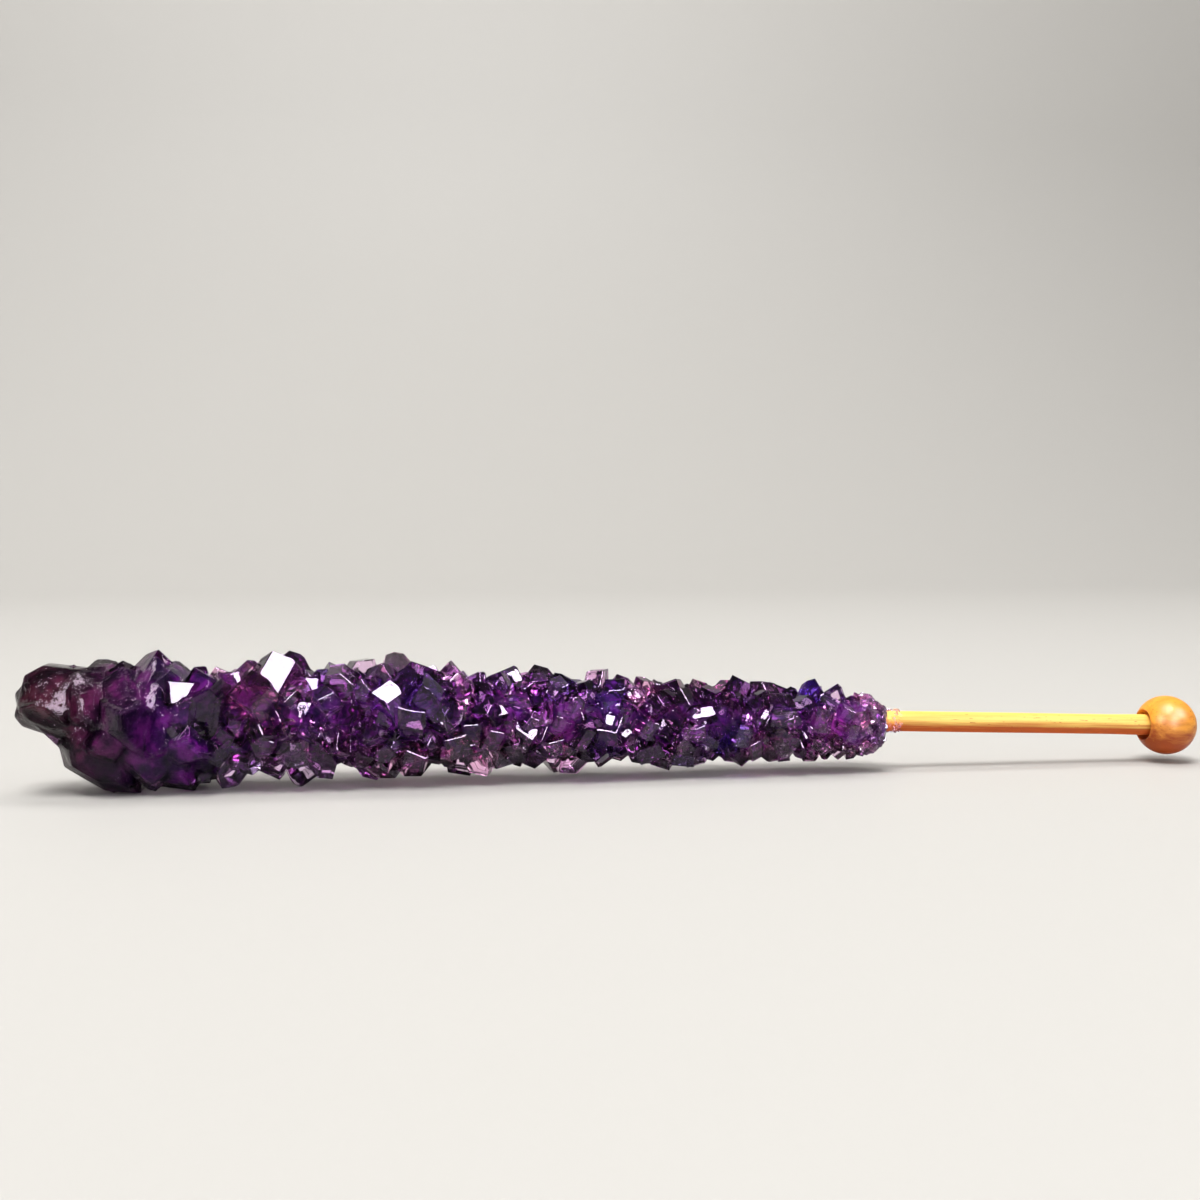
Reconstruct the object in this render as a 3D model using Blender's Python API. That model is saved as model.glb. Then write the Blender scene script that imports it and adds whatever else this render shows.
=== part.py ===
"""Rock candy stick: sugar crystals grown round a wooden stick that has a ball at its free end.

It lies on its side, as it does on a table. The stick's axis runs along X and leans down a little
from the thick end of the candy, at -X, to the ball, at +X. Metres, +Z up, with the origin on the
surface that it lies on, under the middle of the object.

Three solids: the stick, the ball glued on its end, and the candy, which is the union of a core and
a coat of blocky crystals. The crystals have the face directions of sugar's own crystal lattice.
"""

import math
import random

import bmesh
import bpy
from mathutils import Euler, Matrix, Vector

MM = 0.001

# Driving dimensions. Places along the stick are distances from the tip of the candy.
OVERALL_LENGTH = 183.0 * MM
STICK_DIAMETER = 3.2 * MM
BALL_DIAMETER = 9.5 * MM
CANDY_LENGTH = 129.6 * MM

# The lie: how high the stick's axis runs above the surface, under the tip and under the ball.
REST_HEIGHT_TIP = 12.3 * MM
REST_HEIGHT_BALL = 6.0 * MM

# Clearance between pieces that touch in the real thing.
GAP = 0.3 * MM

# Corners that a Boolean leaves closer together than this are one.
WELD = 0.001 * MM

# The stick ends inside the candy, this far before the tip.
STICK_START = 5.0 * MM
STICK_SIDES = 24
STICK_END_BEVEL = 0.25 * MM

# The ball: its mouth is a countersink cut in a flat on the stick's side.
BALL_CENTRE = OVERALL_LENGTH - BALL_DIAMETER / 2
BALL_MOUTH_RADIUS = 0.54 * BALL_DIAMETER / 2
BALL_COUNTERSINK_DEPTH = 1.3 * MM
BALL_BORE_END = 1.6 * MM
BALL_NUB_RADIUS = 0.8 * MM
BALL_SIDES = 36
BALL_ARC_STEPS = 16

# The candy's outline: place along the stick, radius of the crystals' tops, rise of their middle.
OUTLINE = (
    (0.0 * MM, 0.0 * MM, 1.4 * MM),
    (2.4 * MM, 2.4 * MM, 1.4 * MM),
    (8.0 * MM, 3.3 * MM, 1.0 * MM),
    (14.0 * MM, 6.5 * MM, -1.5 * MM),
    (20.0 * MM, 6.8 * MM, -1.3 * MM),
    (32.0 * MM, 6.8 * MM, -1.0 * MM),
    (48.0 * MM, 6.7 * MM, -0.5 * MM),
    (75.0 * MM, 5.9 * MM, -0.4 * MM),
    (100.0 * MM, 5.2 * MM, -0.6 * MM),
    (118.0 * MM, 4.5 * MM, -0.6 * MM),
    (126.0 * MM, 4.1 * MM, -0.7 * MM),
    (129.6 * MM, 2.8 * MM, -0.5 * MM),
)

# Crystal sizes fall from the tip to the stick end of the candy. The other measures are shares of a
# crystal's size: the space it has, how deep its middle lies under the outline, and its thickness
# across the a and c faces and along the m faces.
CRYSTAL_SIZE_TIP = 6.2 * MM
CRYSTAL_SIZE_NECK = 3.7 * MM
CRYSTAL_SIZE_SPREAD = (0.78, 1.22)
CRYSTAL_SPACING = 0.98
CRYSTAL_DEPTH = (0.08, 0.46)
CRYSTAL_THICKNESS_A = (0.72, 1.0)
CRYSTAL_THICKNESS_C = (0.68, 1.0)
CRYSTAL_LENGTH_M = (0.95, 1.2)
CRYSTAL_STRAY = 0.9
CRYSTAL_FIRST = 3.6 * MM
CRYSTAL_LAST = 126.4 * MM
CRYSTAL_SEED = 31

# The core that joins the crystals.
CORE_SHARE = 0.74
CORE_SIDES = 12
CORE_RINGS = 18
CORE_END_INSET = 1.0 * MM
CORE_END_RADIUS = 3.0 * MM
BORE_OVERRUN = 10.0 * MM

GOLDEN_ANGLE = math.pi * (3 - math.sqrt(5))

# Sugar's unit cell, whose shape sets the directions of a crystal's faces.
CELL_A, CELL_B, CELL_C = 10.863, 8.705, 7.759
CELL_BETA = math.radians(102.95)


def clear_scene():
    for obj in list(bpy.data.objects):
        bpy.data.objects.remove(obj)


def material(name, colour, roughness, transmission=0.0):
    made = bpy.data.materials.new(name)
    made.use_nodes = True
    shader = made.node_tree.nodes["Principled BSDF"]
    shader.inputs["Base Color"].default_value = (*colour, 1.0)
    shader.inputs["Roughness"].default_value = roughness
    shader.inputs["Metallic"].default_value = 0.0
    shader.inputs["Transmission Weight"].default_value = transmission
    made.diffuse_color = (*colour, 1.0)
    return made


def new_object(name, bm, parent, look=None):
    mesh = bpy.data.meshes.new(name)
    bm.to_mesh(mesh)
    bm.free()
    obj = bpy.data.objects.new(name, mesh)
    bpy.context.scene.collection.objects.link(obj)
    obj.parent = parent
    if look:
        mesh.materials.append(look)
    return obj


def as_cutter(obj):
    obj.hide_render = True
    obj.display_type = "WIRE"


def turned(profile, sides):
    """A closed body turned round X from its outline, given as (x, radius) from end to end."""
    bm = bmesh.new()
    points = [bm.verts.new((x, 0.0, r)) for x, r in profile]
    edges = [bm.edges.new(pair) for pair in zip(points, points[1:])]
    bmesh.ops.spin(
        bm,
        geom=points + edges,
        cent=(0, 0, 0),
        axis=(1, 0, 0),
        angle=2 * math.pi,
        steps=sides,
        use_merge=True,
    )
    bmesh.ops.remove_doubles(bm, verts=bm.verts, dist=1e-7)
    bmesh.ops.recalc_face_normals(bm, faces=bm.faces)
    return bm


def eased(t):
    return t * t * (3 - 2 * t)


def outline(x):
    """(radius, rise) of the candy at a place along the stick."""
    x = min(max(x, OUTLINE[0][0]), OUTLINE[-1][0])
    for (x0, r0, z0), (x1, r1, z1) in zip(OUTLINE, OUTLINE[1:]):
        if x <= x1:
            t = (x - x0) / (x1 - x0)
            # The first stretch is the round end, a quarter ellipse.
            grown = math.sqrt(1 - (1 - t) ** 2) if x0 == 0 else eased(t)
            return r0 + (r1 - r0) * grown, z0 + (z1 - z0) * eased(t)
    return OUTLINE[-1][1:]


def slope(x):
    step = 0.2 * MM
    low, high = max(x - step, 0), min(x + step, CANDY_LENGTH)
    return (outline(high)[0] - outline(low)[0]) / (high - low)


def cell_faces():
    """Outward normals of a sugar crystal's faces, by form: a and c are its flat sides, m its ends."""
    sin_beta, cos_beta = math.sin(CELL_BETA), math.cos(CELL_BETA)
    star_a = Vector((1 / (CELL_A * sin_beta), 0, 0))
    star_b = Vector((0, 1 / CELL_B, 0))
    star_c = Vector((-cos_beta / (CELL_C * sin_beta), 0, 1 / CELL_C))
    sides_a = [star_a, -star_a]
    sides_c = [star_c, -star_c]
    ends_m = [u * star_a + v * star_b for u in (1, -1) for v in (1, -1)]
    return [[n.normalized() for n in form] for form in (sides_a, sides_c, ends_m)]


def convex(planes, reach):
    """The convex body inside planes given as (point, outward normal), as a bmesh."""
    bm = bmesh.new()
    bmesh.ops.create_cube(bm, size=2 * reach)
    for point, normal in planes:
        whole = [*bm.verts, *bm.edges, *bm.faces]
        cut = bmesh.ops.bisect_plane(
            bm, geom=whole, dist=1e-8, plane_co=point, plane_no=normal, clear_outer=True
        )["geom_cut"]
        rim = [e for e in cut if isinstance(e, bmesh.types.BMEdge) and e.is_boundary]
        if rim:
            bmesh.ops.contextual_create(bm, geom=rim)
    bmesh.ops.recalc_face_normals(bm, faces=bm.faces)
    return bm


def random_direction(rng):
    return Vector([rng.gauss(0, 1) for _ in range(3)]).normalized()


def crystal_places():
    """(number, x, angle round the stick, size) of each crystal, spread evenly by the golden angle."""
    x, number = CRYSTAL_FIRST, 0
    while x < CRYSTAL_LAST:
        size = CRYSTAL_SIZE_TIP + (CRYSTAL_SIZE_NECK - CRYSTAL_SIZE_TIP) * x / CANDY_LENGTH
        yield number, x, number * GOLDEN_ANGLE, size
        radius = outline(x)[0]
        girth = 2 * math.pi * max(radius, size / 3) * math.hypot(1, slope(x))
        x += (CRYSTAL_SPACING * size) ** 2 / girth
        number += 1


def crystal(number, x, angle, size, floor):
    """One crystal as a bmesh, cut off where it would pass through the surface that the object lies on."""
    rng = random.Random(CRYSTAL_SEED * 10000 + number)
    size *= rng.uniform(*CRYSTAL_SIZE_SPREAD)
    radius, rise = outline(x)
    around = Vector((0, math.cos(angle), math.sin(angle)))
    outward = (around - Vector((slope(x), 0, 0))).normalized()
    depth = radius - size * rng.uniform(*CRYSTAL_DEPTH)
    centre = Vector((x, 0, rise)) + around * max(depth, 0)
    long_way = (outward + CRYSTAL_STRAY * random_direction(rng)).normalized()
    turn = Vector((0, 1, 0)).rotation_difference(long_way).to_matrix()
    turn = turn @ Matrix.Rotation(rng.uniform(0, math.tau), 3, "Y")
    sides_a, sides_c, ends_m = cell_faces()
    reach_a = size / 2 * rng.uniform(*CRYSTAL_THICKNESS_A)
    reach_c = size / 2 * rng.uniform(*CRYSTAL_THICKNESS_C)
    faces = [(n, reach_a) for n in sides_a] + [(n, reach_c) for n in sides_c]
    faces += [(n, size / 2 * rng.uniform(*CRYSTAL_LENGTH_M)) for n in ends_m]
    planes = [(turn @ n * reach, turn @ n) for n, reach in faces]
    planes.append((floor[0] - centre, floor[1]))
    bm = convex(planes, 2 * size)
    bmesh.ops.translate(bm, verts=bm.verts, vec=centre)
    return bm


def keep_outer_shell(obj):
    """Applies the modifiers, then drops every shell but the largest: the pockets shut in between crystals."""
    bpy.context.view_layer.update()
    shown = obj.evaluated_get(bpy.context.evaluated_depsgraph_get())
    bm = bmesh.new()
    bm.from_mesh(shown.to_mesh())
    shown.to_mesh_clear()
    bmesh.ops.remove_doubles(bm, verts=bm.verts, dist=WELD)
    left, shells = set(bm.faces), []
    while left:
        todo = [left.pop()]
        shell = set(todo)
        while todo:
            found = {f for e in todo.pop().edges for f in e.link_faces} & left
            left -= found
            shell |= found
            todo += found
        shells.append(shell)
    largest = max(shells, key=lambda faces: sum(f.calc_area() for f in faces))
    bmesh.ops.delete(bm, geom=[f for f in bm.faces if f not in largest], context="FACES")
    obj.modifiers.clear()
    bm.to_mesh(obj.data)
    bm.free()


def make_candy(lie, look):
    """The core, joined with every crystal, with a bore for the stick."""
    up = lie.matrix_world.inverted().to_3x3() @ Vector((0, 0, 1))
    floor = (lie.matrix_world.inverted() @ Vector((0, 0, 0)), -up)
    crystals = bpy.data.collections.new("crystals")
    crystals.hide_render = True
    bpy.context.scene.collection.children.link(crystals)
    for place in crystal_places():
        block = new_object(f"crystal_{place[0]:03d}", crystal(*place, floor), lie)
        bpy.context.scene.collection.objects.unlink(block)
        crystals.objects.link(block)
        as_cutter(block)
    stations = [CANDY_LENGTH * i / CORE_RINGS for i in range(CORE_RINGS + 1)]
    profile = [(x, CORE_SHARE * outline(x)[0]) for x in stations]
    first, last = profile[1][0] / 2, CANDY_LENGTH - CORE_END_INSET
    profile = [
        (first, 0),
        (first, profile[1][1]),
        *profile[1:-1],
        (last, CORE_END_RADIUS),
        (last, 0),
    ]
    core = turned(profile, CORE_SIDES)
    for vert in core.verts:
        vert.co.z += outline(vert.co.x)[1]
    candy = new_object("candy", core, lie, look)
    union = candy.modifiers.new("crystals", "BOOLEAN")
    union.operation = "UNION"
    union.operand_type = "COLLECTION"
    union.collection = crystals
    union.solver = "EXACT"
    bore = new_object(
        "candy_bore",
        turned(
            [
                (STICK_START - GAP, 0),
                (STICK_START - GAP, STICK_DIAMETER / 2 + GAP),
                (CANDY_LENGTH + BORE_OVERRUN, STICK_DIAMETER / 2 + GAP),
                (CANDY_LENGTH + BORE_OVERRUN, 0),
            ],
            STICK_SIDES,
        ),
        lie,
    )
    as_cutter(bore)
    cut = candy.modifiers.new("bore", "BOOLEAN")
    cut.operation = "DIFFERENCE"
    cut.object = bore
    cut.solver = "EXACT"
    keep_outer_shell(candy)
    return candy


def make_stick(lie, look):
    """The dowel, with softened ends, from inside the candy to inside the ball."""
    start, end = STICK_START, BALL_CENTRE + BALL_BORE_END - GAP
    radius, bevel = STICK_DIAMETER / 2, STICK_END_BEVEL
    profile = [
        (start, 0),
        (start, radius - bevel),
        (start + bevel, radius),
        (end - bevel, radius),
        (end, radius - bevel),
        (end, 0),
    ]
    stick = new_object("stick", turned(profile, STICK_SIDES), lie, look)
    stick.data.shade_smooth()
    stick.data.set_sharp_from_angle(angle=math.radians(30))
    return stick


def make_ball(lie, look):
    """The ball, turned in one profile: a round outside, a nub at the far end, and a bored mouth."""
    radius = BALL_DIAMETER / 2
    bore = STICK_DIAMETER / 2 + GAP
    mouth = math.asin(BALL_MOUTH_RADIUS / radius)
    nub = math.asin(BALL_NUB_RADIUS / radius)
    mouth_x = -radius * math.cos(mouth)
    profile = [(BALL_BORE_END, 0), (BALL_BORE_END, bore)]
    profile += [(mouth_x + BALL_COUNTERSINK_DEPTH, bore)]
    for i in range(BALL_ARC_STEPS + 1):
        angle = mouth + (math.pi - nub - mouth) * i / BALL_ARC_STEPS
        profile.append((-radius * math.cos(angle), radius * math.sin(angle)))
    profile.append((radius * math.cos(nub), 0))
    ball = new_object("ball", turned(profile, BALL_SIDES), lie, look)
    ball.location = (BALL_CENTRE, 0, 0)
    ball.data.shade_smooth()
    ball.data.set_sharp_from_angle(angle=math.radians(35))
    return ball


def make_lie():
    """The empty that lays the stick down: its X is the stick's axis, from the tip of the candy."""
    lean = math.asin((REST_HEIGHT_TIP - REST_HEIGHT_BALL) / BALL_CENTRE)
    lie = bpy.data.objects.new("lie", None)
    bpy.context.scene.collection.objects.link(lie)
    lie.rotation_euler = Euler((0, lean, 0))
    lie.location = (0, 0, REST_HEIGHT_TIP)
    bpy.context.view_layer.update()
    return lie


def centre_on_origin(lie, pieces):
    """Moves the whole object along X and Y, so that the origin is under the middle of its box."""
    graph = bpy.context.evaluated_depsgraph_get()
    low, high = Vector((1, 1, 1)), Vector((-1, -1, -1))
    for piece in pieces:
        shown = piece.evaluated_get(graph)
        for vert in shown.to_mesh().vertices:
            point = shown.matrix_world @ vert.co
            low = Vector(map(min, low, point))
            high = Vector(map(max, high, point))
        shown.to_mesh_clear()
    middle = (low + high) / 2
    lie.location.x -= middle.x
    lie.location.y -= middle.y


def main():
    clear_scene()
    lie = make_lie()
    candy = make_candy(lie, material("candy", (0.13, 0.02, 0.24), 0.08, 0.9))
    stick = make_stick(lie, material("stick_wood", (0.72, 0.42, 0.16), 0.55))
    ball = make_ball(lie, material("ball_wood", (0.76, 0.38, 0.11), 0.4))
    bpy.context.view_layer.update()
    centre_on_origin(lie, (candy, stick, ball))


main()
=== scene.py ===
"""Looks of the rock candy stick: clear violet sugar crystals over a dark core, on a birch stick with a ball.

The crystals are real shapes. Each is the convex body inside the face planes of sugar's own crystal
lattice, so its sides meet at sugar's angles. At the thick end they are melted into one lumpy mass,
further on they stand free, large ones with small ones between them, and fine grains frost the neck.
All places are worked out along the stick, from the tip of the candy, and the frame says where the
stick lies.
"""

import math
import random

import bmesh
import bpy
from mathutils import Matrix, Vector, noise


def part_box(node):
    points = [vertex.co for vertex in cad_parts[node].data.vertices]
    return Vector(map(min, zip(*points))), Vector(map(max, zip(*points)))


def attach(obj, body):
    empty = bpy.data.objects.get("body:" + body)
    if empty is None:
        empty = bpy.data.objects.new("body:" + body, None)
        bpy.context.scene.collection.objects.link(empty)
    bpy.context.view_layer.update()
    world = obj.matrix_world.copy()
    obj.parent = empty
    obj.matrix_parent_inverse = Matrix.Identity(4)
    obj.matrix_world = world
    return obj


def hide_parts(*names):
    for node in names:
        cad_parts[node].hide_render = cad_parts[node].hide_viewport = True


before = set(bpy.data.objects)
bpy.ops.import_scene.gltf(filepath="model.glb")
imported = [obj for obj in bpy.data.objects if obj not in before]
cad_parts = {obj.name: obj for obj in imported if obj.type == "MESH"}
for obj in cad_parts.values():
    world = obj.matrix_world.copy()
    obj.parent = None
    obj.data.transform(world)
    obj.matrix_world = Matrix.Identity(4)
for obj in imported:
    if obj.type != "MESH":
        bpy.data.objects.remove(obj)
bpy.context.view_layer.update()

MM = 0.001

# Sizes of the stick and the ball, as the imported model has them. Places along the stick are distances
# from the candy's tip.
OVERALL_LENGTH = 183.0 * MM
STICK_RADIUS = 1.6 * MM
STICK_START = 5.0 * MM
STICK_END_BEVEL = 0.25 * MM
BALL_RADIUS = 4.75 * MM
BALL_CENTRE = OVERALL_LENGTH - BALL_RADIUS
BALL_MOUTH_RADIUS = 0.54 * BALL_RADIUS
BALL_COUNTERSINK_DEPTH = 1.3 * MM
BALL_BORE_END = 1.6 * MM
BALL_NUB_RADIUS = 0.8 * MM
GAP = 0.3 * MM
STICK_END = BALL_CENTRE + BALL_BORE_END - GAP
CANDY_LENGTH = 129.6 * MM

# The candy's outline: place along the stick, radius of the crystals' tops, rise of their middle. It is
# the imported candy's, but a little blunter at both ends.
OUTLINE = (
    (0.0 * MM, 0.0 * MM, 1.4 * MM),
    (2.4 * MM, 2.6 * MM, 1.4 * MM),
    (8.0 * MM, 4.4 * MM, 0.4 * MM),
    (14.0 * MM, 6.6 * MM, -1.5 * MM),
    (20.0 * MM, 6.8 * MM, -1.3 * MM),
    (32.0 * MM, 6.8 * MM, -1.0 * MM),
    (48.0 * MM, 6.7 * MM, -0.5 * MM),
    (75.0 * MM, 5.9 * MM, -0.4 * MM),
    (100.0 * MM, 5.2 * MM, -0.6 * MM),
    (118.0 * MM, 4.5 * MM, -0.6 * MM),
    (126.0 * MM, 4.3 * MM, -0.7 * MM),
    (129.0 * MM, 3.8 * MM, -0.6 * MM),
    (129.6 * MM, 2.8 * MM, -0.5 * MM),
)

GOLDEN_ANGLE = math.pi * (3 - math.sqrt(5))

# Sugar's unit cell, whose shape sets the directions of a crystal's faces.
CELL_A, CELL_B, CELL_C = 10.863, 8.705, 7.759
CELL_BETA = math.radians(102.95)


class Sort:
    """A sort of crystal: how large, where and how its blocks are set, and how its edges are finished."""

    def __init__(self, **values):
        self.size_spread = (0.78, 1.22)
        self.thickness_a = (0.68, 1.0)
        self.thickness_c = (0.64, 1.0)
        self.length_m = (0.95, 1.25)
        self.stray = 0.9
        self.terraces = 0.0
        self.bevel = 0.0
        self.__dict__.update(values)


# Sizes are given at the tip, at the end of the fused tip, and at the neck.
FUSED_LENGTH = 27.0 * MM
FUSED = Sort(
    seed=31,
    sizes=(7.4 * MM, 6.4 * MM, 6.4 * MM),
    spacing=0.72,
    depth=(0.22, 0.5),
    first=4.2 * MM,
    last=FUSED_LENGTH,
)
LARGE = Sort(
    seed=44,
    sizes=(5.6 * MM, 5.3 * MM, 3.2 * MM),
    size_spread=(0.62, 1.22),
    spacing=0.88,
    depth=(0.06, 0.5),
    first=23.0 * MM,
    last=126.0 * MM,
    bevel=0.016,
    terraces=0.35,
)
SMALL = Sort(
    seed=57,
    sizes=(3.0 * MM, 3.0 * MM, 1.8 * MM),
    spacing=1.2,
    depth=(0.25, 0.9),
    first=22.0 * MM,
    last=126.5 * MM,
    bevel=0.016,
)

# The two blocks that end the tip: corners of their side view, along the stick and above its axis, in
# millimetres, as their half widths are.
TIP_BLOCKS = (
    ((0.3, -0.9), (1.6, 5.0), (4.1, 6.5), (13.4, 5.6), (13.0, -5.0), (5.2, -3.6), (1.4, -2.3)),
    ((6.4, -4.6), (7.3, -8.0), (9.9, -9.6), (13.0, -11.4), (18.0, -11.8), (18.0, 0.0), (8.0, 0.0)),
)
TIP_BLOCK_HALF_WIDTHS = (4.6, 5.2)

# How large the dark heart of each fused block is, as a share of the block.
HEART_SHARE = 0.8

# Voxel sizes that the fused mass and its heart are remeshed at, and how many rounds smooth them.
FUSED_GRID, FUSED_ROUNDS = 0.24 * MM, 2
HEART_GRID, HEART_ROUNDS = 0.4 * MM, 3

# The core behind the crystals: where it starts, and its radius as a share of the outline's.
CORE_START = 16.0 * MM
CORE_SHARE = 0.68
CORE_RISE = 0.18
CORE_RISE_START = 120.0 * MM
CORE_RISE_LENGTH = 6.0 * MM

# The frost of fine grains at the neck.
NECK_LENGTH = 4.2 * MM
WOOD_FROST_LENGTH = 3.6 * MM
GRAIN_SIZE = 0.8 * MM
WOOD_GRAIN_SIZE = 0.5 * MM
GRAINS_ON_NECK = 420
GRAINS_ON_WOOD = 150
GRAIN_SEED = 12

# The camera: the place on the stick that it is set from, how far off and above that it is, and how it
# turns. Its pitch is flatter than its own line to the stick, so the stick is low in the picture.
CAMERA_AIM = 84.97 * MM
CAMERA_DISTANCE = 220.0 * MM
CAMERA_RISE = 30.0 * MM
CAMERA_YAW = math.radians(9.0)
CAMERA_PITCH = math.atan(80 / 1450)
CAMERA_LENS = 43.5

# How bright the cards are for their area, and the even light from all round.
CARD_POWER = 48 * math.pi
WORLD_STRENGTH = 0.12
STAGE_COLOUR = (0.42, 0.405, 0.38, 1)


def eased(t):
    return t * t * (3 - 2 * t)


def outline(x):
    """(radius, rise) of the candy at a place along the stick."""
    x = min(max(x, OUTLINE[0][0]), OUTLINE[-1][0])
    for (x0, r0, z0), (x1, r1, z1) in zip(OUTLINE, OUTLINE[1:]):
        if x <= x1:
            t = (x - x0) / (x1 - x0)
            # The first stretch is the round end, a quarter ellipse.
            grown = math.sqrt(1 - (1 - t) ** 2) if x0 == 0 else eased(t)
            return r0 + (r1 - r0) * grown, z0 + (z1 - z0) * eased(t)
    return OUTLINE[-1][1:]


def slope(x):
    """How fast the candy's radius grows along the stick."""
    step = 0.2 * MM
    low, high = max(x - step, 0), min(x + step, CANDY_LENGTH)
    return (outline(high)[0] - outline(low)[0]) / (high - low)


def cell_faces():
    """Outward normals of a sugar crystal's faces, by form: a and c are its flat sides, m its ends,
    and d the narrow faces between a and c."""
    sin_beta, cos_beta = math.sin(CELL_BETA), math.cos(CELL_BETA)
    star_a = Vector((1 / (CELL_A * sin_beta), 0, 0))
    star_b = Vector((0, 1 / CELL_B, 0))
    star_c = Vector((-cos_beta / (CELL_C * sin_beta), 0, 1 / CELL_C))
    sides_a = [star_a, -star_a]
    sides_c = [star_c, -star_c]
    ends_m = [u * star_a + v * star_b for u in (1, -1) for v in (1, -1)]
    sides_d = [star_c - star_a, star_a - star_c]
    return [[n.normalized() for n in form] for form in (sides_a, sides_c, ends_m, sides_d)]


def cut_off(bm, point, normal):
    """Cuts away what lies beyond a plane, and closes the cut."""
    whole = [*bm.verts, *bm.edges, *bm.faces]
    cut = bmesh.ops.bisect_plane(
        bm, geom=whole, dist=1e-8, plane_co=point, plane_no=normal, clear_outer=True
    )["geom_cut"]
    rim = [e for e in cut if isinstance(e, bmesh.types.BMEdge) and e.is_boundary]
    if rim:
        bmesh.ops.contextual_create(bm, geom=rim)


def convex(planes, reach):
    """The convex body inside planes given as (point, outward normal), as a bmesh."""
    bm = bmesh.new()
    bmesh.ops.create_cube(bm, size=2 * reach)
    for point, normal in planes:
        cut_off(bm, point, normal)
    bmesh.ops.recalc_face_normals(bm, faces=bm.faces)
    return bm


def random_direction(rng):
    return Vector([rng.gauss(0, 1) for _ in range(3)]).normalized()


def size_at(sort, x):
    """The middling size of a sort's crystals at a place along the stick."""
    tip, fused, neck = sort.sizes
    if x < FUSED_LENGTH:
        return tip + (fused - tip) * x / FUSED_LENGTH
    return fused + (neck - fused) * (x - FUSED_LENGTH) / (CANDY_LENGTH - FUSED_LENGTH)


def crystal_places(sort):
    """(number, x, angle round the stick, size) of each crystal, spread evenly by the golden angle."""
    x, number = sort.first, 0
    while x < sort.last:
        size = size_at(sort, x)
        yield number, x, number * GOLDEN_ANGLE, size
        radius = outline(x)[0]
        girth = 2 * math.pi * max(radius, size / 3) * math.hypot(1, slope(x))
        x += (sort.spacing * size) ** 2 / girth
        number += 1


def crystal(sort, number, x, angle, size, floor):
    """One crystal, cut off at the floor: a bmesh round its middle, where that middle is, and its random
    source."""
    rng = random.Random(sort.seed * 10000 + number)
    size *= rng.uniform(*sort.size_spread)
    radius, rise = outline(x)
    around = Vector((0, math.cos(angle), math.sin(angle)))
    outward = (around - Vector((slope(x), 0, 0))).normalized()
    depth = radius - size * rng.uniform(*sort.depth)
    centre = Vector((x, 0, rise)) + around * max(depth, 0)
    long_way = (outward + sort.stray * random_direction(rng)).normalized()
    turn = Vector((0, 1, 0)).rotation_difference(long_way).to_matrix()
    turn = turn @ Matrix.Rotation(rng.uniform(0, math.tau), 3, "Y")
    sides_a, sides_c, ends_m, sides_d = cell_faces()
    reach_a = size / 2 * rng.uniform(*sort.thickness_a)
    reach_c = size / 2 * rng.uniform(*sort.thickness_c)
    faces = [(n, reach_a) for n in sides_a] + [(n, reach_c) for n in sides_c]
    faces += [(n, size / 2 * rng.uniform(*sort.length_m)) for n in ends_m]
    planes = [(turn @ n * reach, turn @ n) for n, reach in faces]
    planes.append((floor[0] - centre, floor[1]))
    bm = convex(planes, 2 * size)
    for n in sides_d:
        n = turn @ n
        corner = max(v.co.dot(n) for v in bm.verts)
        cut_off(bm, n * corner * (1 - rng.uniform(0.02, 0.2)), n)
    if sort.bevel:
        bmesh.ops.dissolve_degenerate(bm, edges=bm.edges, dist=0.01 * size)
        bmesh.ops.bevel(
            bm, geom=bm.edges, offset=sort.bevel * size, segments=1, affect="EDGES", clamp_overlap=True
        )
    broad = [f for f in bm.faces if f.calc_area() > (0.4 * size) ** 2]
    for face in broad:
        if rng.random() < sort.terraces:
            step_a_face(bm, face, size, rng)
    bmesh.ops.recalc_face_normals(bm, faces=bm.faces)
    return bm, centre, rng


def step_a_face(bm, face, size, rng):
    """A growth step: the middle of a face sinks a little, inside a rim of uneven width."""
    bmesh.ops.inset_region(bm, faces=[face], thickness=size * rng.uniform(0.05, 0.14))
    drop = -size * rng.uniform(0.008, 0.02)
    bmesh.ops.inset_region(bm, faces=[face], thickness=-drop, depth=drop)


def cluster(name, sort, place, floor):
    """All crystals of a sort as one mesh."""
    return joined(name, (crystal(sort, *spot, floor) for spot in crystal_places(sort)), place)


def joined(name, blocks, place):
    """Blocks, each (bmesh, middle, random source), as one mesh. "tint" holds a block's own random draws."""
    verts, faces, tints = [], [], []
    for bm, centre, rng in blocks:
        if len(bm.faces) < 4:
            bm.free()
            continue
        draw = (rng.random(), rng.random(), rng.random(), 1.0)
        start = len(verts)
        bm.verts.index_update()
        verts += [centre + v.co for v in bm.verts]
        faces += [[start + v.index for v in f.verts] for f in bm.faces]
        tints += [draw] * len(bm.verts)
        bm.free()
    mesh = bpy.data.meshes.new(name)
    mesh.from_pydata(verts, [], faces)
    layer = mesh.attributes.new("tint", "FLOAT_COLOR", "POINT")
    layer.data.foreach_set("color", [c for tint in tints for c in tint])
    return placed(name, mesh, place)


def placed(name, mesh, place):
    mesh.transform(place)
    obj = bpy.data.objects.new(name, mesh)
    bpy.context.scene.collection.objects.link(obj)
    return obj


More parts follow.
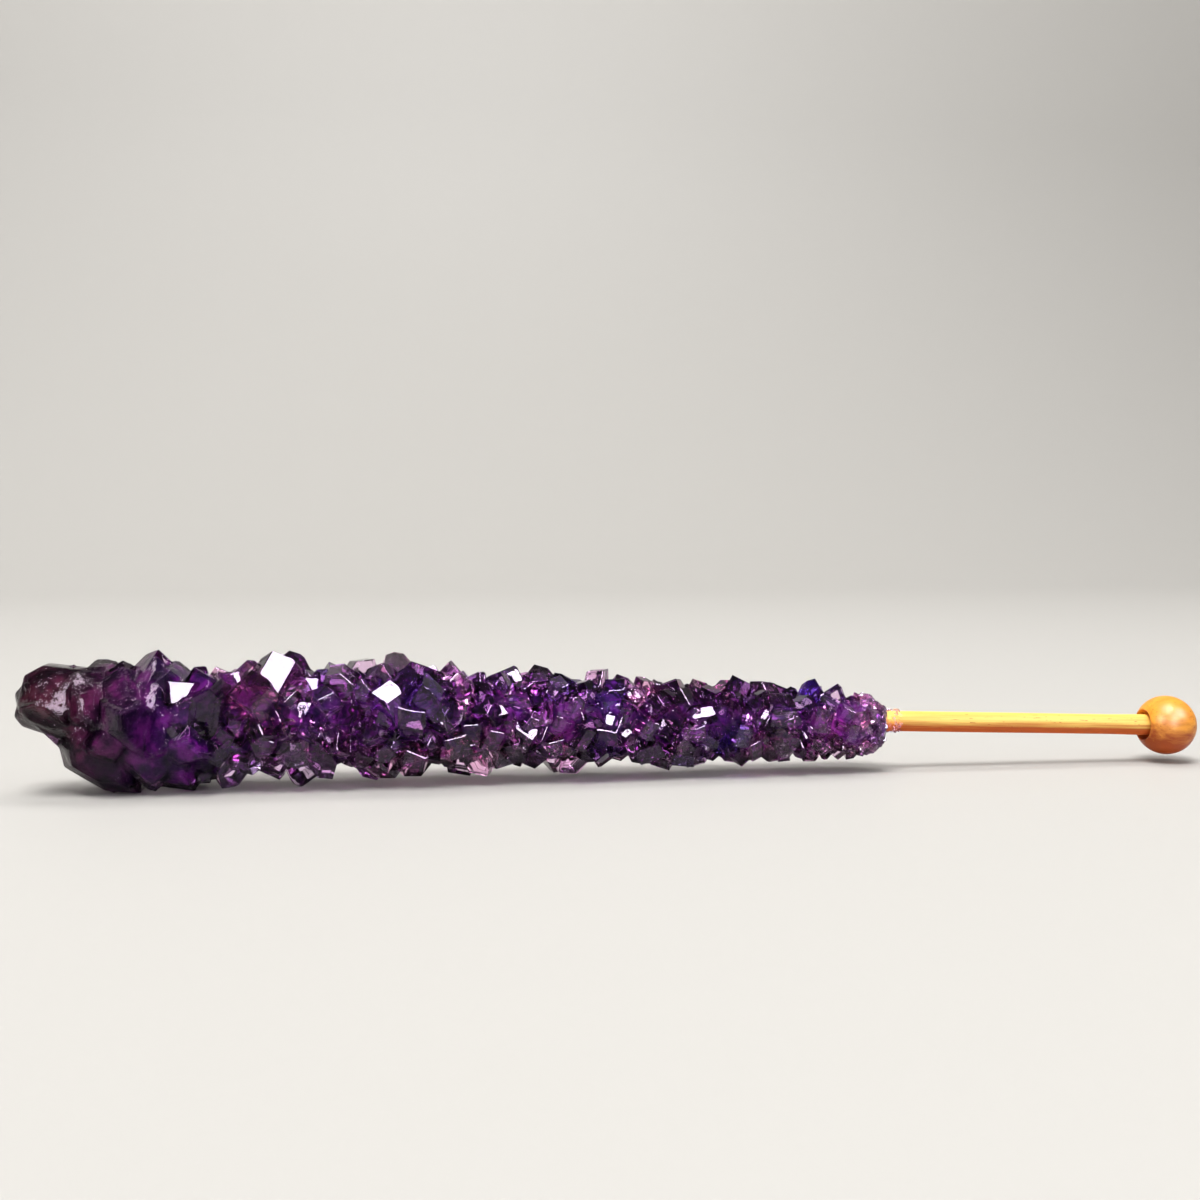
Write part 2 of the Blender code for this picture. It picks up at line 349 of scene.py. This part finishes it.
def turned(name, profile, sides, place, shift=None):
    """A closed body turned round X from its outline, given as (x, radius) from end to end. A shift moves
    each of its points."""
    verts, faces = [], []
    for x, r in profile[1:-1]:
        for i in range(sides):
            angle = math.tau * i / sides
            point = Vector((x, r * math.cos(angle), r * math.sin(angle)))
            verts.append(shift(point) if shift else point)
    rings = len(profile) - 2
    for k in range(rings - 1):
        for i in range(sides):
            j = (i + 1) % sides
            faces.append([k * sides + i, k * sides + j, (k + 1) * sides + j, (k + 1) * sides + i])
    verts += [Vector((profile[0][0], 0, 0)), Vector((profile[-1][0], 0, 0))]
    first, last = len(verts) - 2, len(verts) - 1
    for i in range(sides):
        j = (i + 1) % sides
        faces.append([first, j, i])
        faces.append([last, (rings - 1) * sides + i, (rings - 1) * sides + j])
    mesh = bpy.data.meshes.new(name)
    mesh.from_pydata(verts, [], faces)
    bm = bmesh.new()
    bm.from_mesh(mesh)
    bmesh.ops.recalc_face_normals(bm, faces=bm.faces)
    bm.to_mesh(mesh)
    bm.free()
    mesh.shade_smooth()
    mesh.set_sharp_from_angle(angle=math.radians(40))
    return placed(name, mesh, place)


def tip_block(corners, half_width, floor, number):
    """A convex block with the given side view. Its front and back are smaller than its middle."""
    bm = bmesh.new()
    middle = sum((Vector((x, 0, z)) for x, z in corners), Vector()) / len(corners) * MM
    for x, z in corners:
        corner = Vector((x, 0, z)) * MM - middle
        for y, share in ((0.45 * half_width, 1.0), (half_width, 0.6)):
            for side in (-1, 1):
                bm.verts.new(share * corner + Vector((0, side * y * MM, 0)))
    hull = bmesh.ops.convex_hull(bm, input=bm.verts)
    bmesh.ops.delete(bm, geom=hull["geom_interior"], context="VERTS")
    cut_off(bm, floor[0] - middle, floor[1])
    return bm, middle, random.Random(number)


def make_fused_tip(name, share, grid, rounds, place, floor):
    """The thick end, where the crystals have grown and melted into one lumpy mass."""
    shapes = zip(TIP_BLOCKS, TIP_BLOCK_HALF_WIDTHS)
    blocks = [tip_block(*shape, floor, i) for i, shape in enumerate(shapes)]
    blocks += [crystal(FUSED, *spot, floor) for spot in crystal_places(FUSED)]
    for block in blocks:
        bm = block[0]
        bmesh.ops.scale(bm, vec=(share, share, share), verts=bm.verts)
    piece = joined(name, blocks, place)
    remesh = piece.modifiers.new("fuse", "REMESH")
    remesh.mode = "VOXEL"
    remesh.voxel_size = grid
    smooth = piece.modifiers.new("melt", "SMOOTH")
    smooth.factor = 0.5
    smooth.iterations = rounds
    bpy.context.view_layer.update()
    result = piece.evaluated_get(bpy.context.evaluated_depsgraph_get())
    mesh = bpy.data.meshes.new_from_object(result)
    piece.modifiers.clear()
    piece.data = mesh
    return piece


def core_radius(x):
    """The core is deep under the crystals, and comes up to the surface at the neck."""
    t = min(max((x - CORE_RISE_START) / CORE_RISE_LENGTH, 0), 1)
    return (CORE_SHARE + CORE_RISE * eased(t)) * outline(x)[0]


def make_core(place, floor):
    """The dark inside of the candy: grown sugar too deep to see into, lumpy under the crystals."""
    steps = 150
    start, end = CORE_START, CANDY_LENGTH - 0.4 * MM
    xs = [start + (end - start) * i / steps for i in range(steps + 1)]
    profile = [(start, 0)] + [(x, core_radius(x)) for x in xs] + [(end, 0)]

    def lumpy(point):
        swell = 1 + 0.25 * noise.noise(point / (2.2 * MM)) + 0.12 * noise.noise(point / (0.8 * MM))
        rise = outline(point.x)[1]
        return Vector((point.x, point.y * swell, point.z * swell + rise))

    piece = turned("core", profile, 64, place, lumpy)
    heart = make_fused_tip("heart", HEART_SHARE, HEART_GRID, HEART_ROUNDS, place, floor)
    bm = bmesh.new()
    bm.from_mesh(piece.data)
    bm.from_mesh(heart.data)
    bm.to_mesh(piece.data)
    bm.free()
    bpy.data.objects.remove(heart)
    return piece


def make_grains(place):
    """Fine sugar that frosts the neck of the candy and the first millimetres of bare wood."""
    rng = random.Random(GRAIN_SEED)
    neck_radius = outline(CANDY_LENGTH - NECK_LENGTH)[0]
    spots = []
    for _ in range(GRAINS_ON_NECK):
        # From the side of the neck, over its round end, to the stick.
        turn = rng.random() ** 0.8 * math.pi / 2
        x = CANDY_LENGTH - NECK_LENGTH + NECK_LENGTH * math.sin(turn)
        radius = STICK_RADIUS + (neck_radius - STICK_RADIUS) * math.cos(turn)
        spots.append((x, radius, outline(x)[1], GRAIN_SIZE))
    for _ in range(GRAINS_ON_WOOD):
        x = CANDY_LENGTH + WOOD_FROST_LENGTH * rng.random() ** 2 - 0.5 * MM
        spots.append((x, STICK_RADIUS, 0, WOOD_GRAIN_SIZE))
    blocks = []
    for x, radius, rise, size in spots:
        size *= rng.uniform(0.5, 1.3)
        angle = rng.uniform(0, math.tau)
        radius += size * rng.uniform(-0.3, 0.45)
        centre = Vector((x, radius * math.cos(angle), radius * math.sin(angle) + rise))
        turn = Matrix.Rotation(rng.uniform(0, math.tau), 3, random_direction(rng))
        planes = []
        for form in cell_faces()[:3]:
            planes += [(turn @ n * size / 2 * rng.uniform(0.7, 1.2), turn @ n) for n in form]
        blocks.append((convex(planes, 2 * size), centre, rng))
    return joined("grains", blocks, place)


def make_stick(place):
    """The dowel, faintly out of round, with a slight swelling before the ball."""
    steps = 240
    start, end = STICK_START, STICK_END
    xs = [start + (end - start) * i / steps for i in range(steps + 1)]
    flare = BALL_CENTRE - BALL_RADIUS

    def radius(x):
        bevel = min(1.0, (min(x - start, end - x) + 0.02 * MM) / STICK_END_BEVEL)
        swell = 0.05 * math.exp(-(((x - flare) / (3.0 * MM)) ** 2))
        return (STICK_RADIUS - STICK_END_BEVEL * (1 - bevel)) * (1 + swell)

    def uneven(point):
        stretched = Vector((point.x / (9 * MM), point.y / (0.7 * MM), point.z / (0.7 * MM)))
        swell = 1 + 0.012 * noise.noise(stretched)
        return Vector((point.x, point.y * swell, point.z * swell))

    profile = [(start, 0)] + [(x, radius(x)) for x in xs] + [(end, 0)]
    return turned("stick_piece", profile, 48, place, uneven)


def make_ball(place):
    """The turned ball, with its bored and countersunk mouth towards the candy."""
    bore = STICK_RADIUS + GAP
    mouth = math.asin(BALL_MOUTH_RADIUS / BALL_RADIUS)
    nub = math.asin(BALL_NUB_RADIUS / BALL_RADIUS)
    mouth_x = -BALL_RADIUS * math.cos(mouth)
    profile = [(BALL_BORE_END, 0), (BALL_BORE_END, bore)]
    profile.append((mouth_x + BALL_COUNTERSINK_DEPTH, bore))
    steps = 12
    for i in range(1, steps):
        t = i / steps
        r = bore + (BALL_MOUTH_RADIUS - 0.15 * MM - bore) * t
        profile.append((mouth_x + BALL_COUNTERSINK_DEPTH * (1 - t ** 1.6) + 0.02 * MM, r))
    profile.append((mouth_x + 0.03 * MM, BALL_MOUTH_RADIUS - 0.1 * MM))
    steps = 56
    for i in range(steps + 1):
        angle = mouth + (math.pi - nub - mouth) * i / steps
        profile.append((-BALL_RADIUS * math.cos(angle), BALL_RADIUS * math.sin(angle)))
    profile.append((BALL_RADIUS * math.cos(nub), 0))
    return turned("ball_piece", profile, 96, place @ Matrix.Translation((BALL_CENTRE, 0, 0)))


class Nodes:
    """A short way to write a material's node tree."""

    def __init__(self, name):
        self.material = bpy.data.materials.new(name)
        self.material.use_nodes = True
        self.tree = self.material.node_tree
        self.shader = self.tree.nodes["Principled BSDF"]
        self.output = self.tree.nodes["Material Output"]

    def add(self, kind, **settings):
        node = self.tree.nodes.new(kind)
        for key, value in settings.items():
            setattr(node, key, value)
        return node

    def link(self, start, end):
        self.tree.links.new(start, end)

    def set(self, **values):
        for key, value in values.items():
            self.shader.inputs[key.replace("_", " ")].default_value = value

    def coordinates(self, scale=(1, 1, 1)):
        """Places in the stick's own axes, stretched."""
        place = stick_place()
        here = self.add("ShaderNodeTexCoord")
        axes = self.add("ShaderNodeMapping", vector_type="TEXTURE")
        axes.inputs["Location"].default_value = place.to_translation()
        axes.inputs["Rotation"].default_value = place.to_euler()
        stretch = self.add("ShaderNodeMapping")
        stretch.inputs["Scale"].default_value = scale
        self.link(here.outputs["Object"], axes.inputs["Vector"])
        self.link(axes.outputs["Vector"], stretch.inputs["Vector"])
        return stretch.outputs["Vector"]

    def along(self, vector, start, end):
        """Runs from 0 to 1 between two places along the stick."""
        axes = self.add("ShaderNodeSeparateXYZ")
        self.link(vector, axes.inputs["Vector"])
        node = self.add("ShaderNodeMapRange")
        node.inputs["From Min"].default_value = start
        node.inputs["From Max"].default_value = end
        self.link(axes.outputs["X"], node.inputs["Value"])
        return node.outputs["Result"]

    def noise(self, vector, scale, detail=2.0, roughness=0.5):
        node = self.add("ShaderNodeTexNoise")
        node.inputs["Scale"].default_value = scale
        node.inputs["Detail"].default_value = detail
        node.inputs["Roughness"].default_value = roughness
        self.link(vector, node.inputs["Vector"])
        return node.outputs["Fac"]

    def ramp(self, value, *stops):
        """Colour stops as (place, colour); a number stands for a grey."""
        node = self.add("ShaderNodeValToRGB")
        elements = node.color_ramp.elements
        while len(elements) < len(stops):
            elements.new(0.5)
        for element, (place, colour) in zip(elements, stops):
            element.position = place
            grey = isinstance(colour, (int, float))
            element.color = (colour, colour, colour, 1) if grey else (*colour, 1)
        self.link(value, node.inputs["Fac"])
        return node.outputs["Color"]

    def sum(self, first, second, factor):
        """first + factor * second"""
        node = self.add("ShaderNodeMath", operation="MULTIPLY_ADD")
        self.link(second, node.inputs[0])
        node.inputs[1].default_value = factor
        self.link(first, node.inputs[2])
        return node.outputs[0]

    def mix(self, share, first, second, blend="MIX"):
        node = self.add("ShaderNodeMix", data_type="RGBA", blend_type=blend)
        for socket, value in zip((node.inputs[0], node.inputs[6], node.inputs[7]), (share, first, second)):
            if isinstance(value, bpy.types.NodeSocket):
                self.link(value, socket)
            elif isinstance(value, (int, float)):
                socket.default_value = value
            else:
                socket.default_value = (*value, 1)
        return node.outputs[2]

    def bump(self, height, distance, strength=1.0, below=None):
        node = self.add("ShaderNodeBump")
        node.inputs["Distance"].default_value = distance
        node.inputs["Strength"].default_value = strength
        self.link(height, node.inputs["Height"])
        if below:
            self.link(below, node.inputs["Normal"])
        return node.outputs["Normal"]


def srgb(red, green, blue):
    """A colour as picked on screen, from 0 to 255, as the linear values that a shader takes."""
    def linear(value):
        value /= 255
        return value / 12.92 if value <= 0.04045 else ((value + 0.055) / 1.055) ** 2.4
    return tuple(linear(v) for v in (red, green, blue))


BLUE_DYE = srgb(190, 162, 246)
VIOLET_DYE = srgb(230, 174, 234)
MAGENTA_DYE = srgb(248, 194, 224)
DEEP_DYE = srgb(128, 70, 146)
PALE_DYE = srgb(248, 222, 244)
FUSED_DYE = srgb(150, 86, 146)
PLUM_DYE = srgb(84, 46, 54)
FROST = srgb(240, 222, 244)
# Reflections are dimmed and tinted, most of all on the fused mass, whose surface is dull.
SHEEN_TINT = (0.56, 0.46, 0.62, 1)
FUSED_SHEEN_TINT = (0.2, 0.17, 0.2, 1)

# How fine the noise in the sugar is, per metre: its wandering dye, its duller patches, its bumps.
DYE_SCALE = 90
PATCH_SCALE = 700
FINE_SCALE = 2200
COARSE_SCALE = 420
PIT_SCALE = 1300

# The core's patches, speckle and bumps, and the wood's flecks along and across the grain.
CORE_PATCH_SCALE = 260
CORE_SPECKLE_SCALE = 1700
CORE_BUMP_SCALE = 1500
FLECK_SCALES = (700, 4500, 4500)


def sugar_material(name, rough, clear=1.0, fused=False, frost=False):
    """Clear dyed sugar. The dye wanders from blue-violet to magenta, and some crystals are deeper.
    The fused mass is darker, and turns plum at the tip. Frost turns pale on the bare wood."""
    nodes = Nodes(name)
    where = nodes.coordinates()
    attribute = nodes.add("ShaderNodeAttribute", attribute_name="tint")
    split = nodes.add("ShaderNodeSeparateColor")
    nodes.link(attribute.outputs["Color"], split.inputs["Color"])
    hue = nodes.sum(nodes.noise(where, DYE_SCALE, 2.0), split.outputs["Red"], 0.3)
    dye = nodes.ramp(hue, (0.42, BLUE_DYE), (0.56, VIOLET_DYE), (0.84, MAGENTA_DYE))
    dye = nodes.mix(nodes.ramp(split.outputs["Green"], (0.7, 0.0), (0.74, 0.8)), dye, DEEP_DYE)
    dye = nodes.mix(nodes.ramp(split.outputs["Blue"], (0.68, 0.0), (0.72, 0.7)), dye, PALE_DYE)
    if fused:
        plum = nodes.along(where, FUSED_LENGTH, 0.15 * FUSED_LENGTH)
        dye = nodes.mix(0.85, dye, nodes.mix(plum, FUSED_DYE, PLUM_DYE))
    if frost:
        bare = nodes.along(where, CANDY_LENGTH - 0.6 * MM, CANDY_LENGTH + 0.3 * MM)
        dye = nodes.mix(bare, dye, FROST)
    nodes.link(dye, nodes.shader.inputs["Base Color"])
    sheen = FUSED_SHEEN_TINT if fused else SHEEN_TINT
    nodes.set(IOR=1.54, Transmission_Weight=clear, Specular_Tint=sheen)
    patches = nodes.noise(where, PATCH_SCALE, 3.0, 0.6)
    roughness = nodes.ramp(patches, (0.55, rough), (0.75, rough + 0.1))
    nodes.link(roughness, nodes.shader.inputs["Roughness"])
    fine = nodes.noise(where, FINE_SCALE, 3.0, 0.6)
    coarse = nodes.noise(where, COARSE_SCALE, 1.0)
    normal = nodes.bump(fine, 0.01 * MM, 0.6)
    normal = nodes.bump(coarse, (0.3 if fused else 0.06) * MM, 0.6, normal)
    if fused:
        pits = nodes.ramp(nodes.noise(where, PIT_SCALE, 2.0), (0.34, 0.0), (0.42, 1.0))
        normal = nodes.bump(pits, 0.06 * MM, 1.0, normal)
    nodes.link(normal, nodes.shader.inputs["Normal"])
    return nodes.material


def core_material():
    """The inside of the candy: deep dye, plum towards the tip, and speckled with pale sugar at the neck."""
    nodes = Nodes("core_sugar")
    where = nodes.coordinates()
    patches = nodes.noise(where, CORE_PATCH_SCALE, 3.0, 0.6)
    colour = nodes.ramp(
        patches, (0.38, srgb(12, 3, 44)), (0.5, srgb(50, 12, 74)), (0.68, srgb(122, 44, 140))
    )
    plum = nodes.ramp(
        patches, (0.38, srgb(18, 8, 14)), (0.5, srgb(44, 20, 32)), (0.66, srgb(90, 44, 60))
    )
    colour = nodes.mix(nodes.along(where, FUSED_LENGTH, 0.3 * FUSED_LENGTH), colour, plum)
    speckle = nodes.noise(where, CORE_SPECKLE_SCALE, 1.0)
    frost = nodes.ramp(
        speckle, (0.4, srgb(30, 8, 44)), (0.55, srgb(76, 36, 94)), (0.7, srgb(190, 146, 200))
    )
    neck_start = CANDY_LENGTH - 1.3 * NECK_LENGTH
    neck_end = CANDY_LENGTH - 0.7 * NECK_LENGTH
    colour = nodes.mix(nodes.along(where, neck_start, neck_end), colour, frost)
    nodes.link(colour, nodes.shader.inputs["Base Color"])
    nodes.set(Roughness=0.4, Specular_IOR_Level=0.1)
    bumps = nodes.noise(where, CORE_BUMP_SCALE, 3.0)
    nodes.link(nodes.bump(bumps, 0.1 * MM), nodes.shader.inputs["Normal"])
    return nodes.material


def wood_material(name, pale, mid, fleck_and_shade, scales, rough, sheen, radius):
    """Birch: fine streaks along the grain, with short darker flecks, and painted shade that darkens and
    browns its low side.
    """
    nodes = Nodes(name)
    along_scale, across_scale = scales
    streaks = nodes.noise(nodes.coordinates((along_scale, across_scale, across_scale)), 1.0, 4.0, 0.6)
    colour = nodes.ramp(streaks, (0.3, mid), (0.62, pale))
    # Painted shade: from about the middle down, with a ragged edge along the grain, the colour turns to the
    # dark one that the flecks also use.
    axes = nodes.add("ShaderNodeSeparateXYZ")
    nodes.link(nodes.coordinates(), axes.inputs["Vector"])
    height = nodes.sum(axes.outputs["Z"], streaks, 1.2 * radius)
    painted_shade_low_side = nodes.add("ShaderNodeMapRange")
    painted_shade_low_side.inputs["From Min"].default_value = 0.9 * radius
    painted_shade_low_side.inputs["From Max"].default_value = 0.15 * radius
    nodes.link(height, painted_shade_low_side.inputs["Value"])
    colour = nodes.mix(painted_shade_low_side.outputs["Result"], colour, fleck_and_shade)
    flecks = nodes.noise(nodes.coordinates(FLECK_SCALES), 1.0, 2.0)
    colour = nodes.mix(nodes.ramp(flecks, (0.66, 0.0), (0.72, 0.8)), colour, fleck_and_shade)
    nodes.link(colour, nodes.shader.inputs["Base Color"])
    nodes.link(nodes.ramp(streaks, (0.3, rough + 0.1), (0.7, rough)), nodes.shader.inputs["Roughness"])
    nodes.link(nodes.bump(streaks, 0.05 * MM, 0.7), nodes.shader.inputs["Normal"])
    nodes.set(Specular_IOR_Level=sheen)
    return nodes.material


def stick_place():
    """The stick's own axes, from the tip of the candy, in the frame."""
    low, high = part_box("stick")
    stick_middle = (low + high) / 2
    low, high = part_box("ball")
    ball_middle = (low + high) / 2
    stick_centre = (STICK_START + STICK_END) / 2
    lean = math.asin((stick_middle.z - ball_middle.z) / (BALL_CENTRE - stick_centre))
    turn = Matrix.Rotation(lean, 4, "Y")
    return Matrix.Translation(stick_middle) @ turn @ Matrix.Translation((-stick_centre, 0, 0))


def add_camera(place):
    """The photograph's view: 9 degrees off square to the stick, and a little from above."""
    aim = place @ Vector((CAMERA_AIM, 0, 0))
    ahead = Vector((math.sin(CAMERA_YAW), math.cos(CAMERA_YAW), 0))
    data = bpy.data.cameras.new("camera")
    data.lens = CAMERA_LENS
    data.clip_start = 0.01
    camera = bpy.data.objects.new("camera", data)
    bpy.context.scene.collection.objects.link(camera)
    camera.location = aim - CAMERA_DISTANCE * ahead + Vector((0, 0, CAMERA_RISE))
    camera.rotation_euler = (math.pi / 2 - CAMERA_PITCH, 0, -CAMERA_YAW)
    bpy.context.scene.camera = camera


def add_lamp(name, location, size, power):
    """A rectangular lamp that points at the middle of the stick."""
    data = bpy.data.lights.new(name, "AREA")
    data.shape = "RECTANGLE"
    data.size, data.size_y = size
    data.energy = power
    lamp = bpy.data.objects.new(name, data)
    bpy.context.scene.collection.objects.link(lamp)
    lamp.location = location
    lamp.rotation_euler = (-Vector(location)).to_track_quat("-Z", "Y").to_euler()
    return lamp


def add_stage():
    """A pale floor that curves up into a backdrop."""
    width, front, back, bend, top = 3.0, -1.5, 0.55, 0.35, 1.5
    line = [(front, 0.0), (back, 0.0)]
    steps = 16
    for i in range(1, steps + 1):
        angle = math.pi / 2 * i / steps
        line.append((back + bend * math.sin(angle), bend * (1 - math.cos(angle))))
    line.append((back + bend, top))
    verts = [Vector((x, y, z)) for y, z in line for x in (-width / 2, width / 2)]
    faces = [[2 * i, 2 * i + 1, 2 * i + 3, 2 * i + 2] for i in range(len(line) - 1)]
    mesh = bpy.data.meshes.new("stage")
    mesh.from_pydata(verts, [], faces)
    mesh.shade_smooth()
    stage = placed("stage", mesh, Matrix.Identity(4))
    nodes = Nodes("stage")
    nodes.set(Base_Color=STAGE_COLOUR, Roughness=0.6)
    mesh.materials.append(nodes.material)


def add_light():
    """White studio light."""
    # Large soft lamps light everything, but don't show as grey sheets in the crystals' faces.
    for name, location, size, power in (
        ("key", (-0.35, -0.5, 1.6), (0.8, 0.8), 36),
        ("fill", (1.0, -0.9, 0.9), (0.8, 0.8), 1.5),
        ("back", (0.1, 0.4, 1.3), (1.2, 0.5), 12),
    ):
        lamp = add_lamp(name, location, size, power)
        lamp.visible_glossy = False
    # Small bright cards show in shiny surfaces, as white glints, and light nothing else.
    for name, location, size in (
        ("card_left", (-0.45, -0.5, 0.42), (0.27, 0.27)),
        ("card_top", (0.05, -0.25, 0.75), (0.38, 0.32)),
        ("card_right", (0.5, -0.35, 0.5), (0.28, 0.28)),
        ("card_low", (0.1, -0.75, 0.25), (0.24, 0.24)),
        ("card_front", (0.24, -0.62, 0.5), (0.24, 0.24)),
    ):
        card = add_lamp(name, location, size, CARD_POWER * size[0] * size[1])
        card.visible_diffuse = False
    world = bpy.data.worlds.new("world")
    world.use_nodes = True
    background = world.node_tree.nodes["Background"]
    background.inputs["Color"].default_value = (1, 1, 1, 1)
    background.inputs["Strength"].default_value = WORLD_STRENGTH
    bpy.context.scene.world = world


def main():
    place = stick_place()
    # The floor in the stick's own axes, as a point and the direction down through it.
    up = place.inverted().to_3x3() @ Vector((0, 0, 1))
    floor = (place.inverted() @ Vector((0, 0, 0)), -up)

    crystals = sugar_material("crystal_sugar", 0.01)
    fused = sugar_material("fused_sugar", 0.03, fused=True)
    grains = sugar_material("grain_sugar", 0.03, clear=0.95, frost=True)
    stick_birch = wood_material(
        "stick_birch",
        pale=srgb(243, 206, 100),
        mid=srgb(234, 176, 74),
        # This dark colour makes both the grain's flecks and the painted shade on the stick's low side.
        fleck_and_shade=srgb(176, 80, 26),
        scales=(60, 2600),
        rough=0.6,
        sheen=0.15,
        radius=STICK_RADIUS,
    )
    ball_birch = wood_material(
        "ball_birch",
        pale=srgb(240, 162, 54),
        mid=srgb(230, 140, 38),
        # This dark colour makes both the grain's flecks and the painted shade on the ball's low side.
        fleck_and_shade=srgb(152, 64, 14),
        scales=(120, 900),
        rough=0.33,
        sheen=0.25,
        radius=BALL_RADIUS,
    )
    looks = {
        make_fused_tip("fused_tip", 1.0, FUSED_GRID, FUSED_ROUNDS, place, floor): (
            fused, "candy", "candy",
        ),
        cluster("crystals_large", LARGE, place, floor): (crystals, "candy", "candy"),
        cluster("crystals_small", SMALL, place, floor): (crystals, "candy", "candy"),
        make_grains(place): (grains, "candy", "candy"),
        make_core(place, floor): (core_material(), "candy", "candy"),
        make_stick(place): (stick_birch, "stick_wood", "stick"),
        make_ball(place): (ball_birch, "ball_wood", "ball"),
    }
    for piece, (look, slot, node) in looks.items():
        piece.data.materials.append(look)
        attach(piece, "root")
        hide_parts(node)

    add_stage()
    add_light()
    add_camera(place)
    bpy.context.scene.view_settings.view_transform = "Standard"


main()
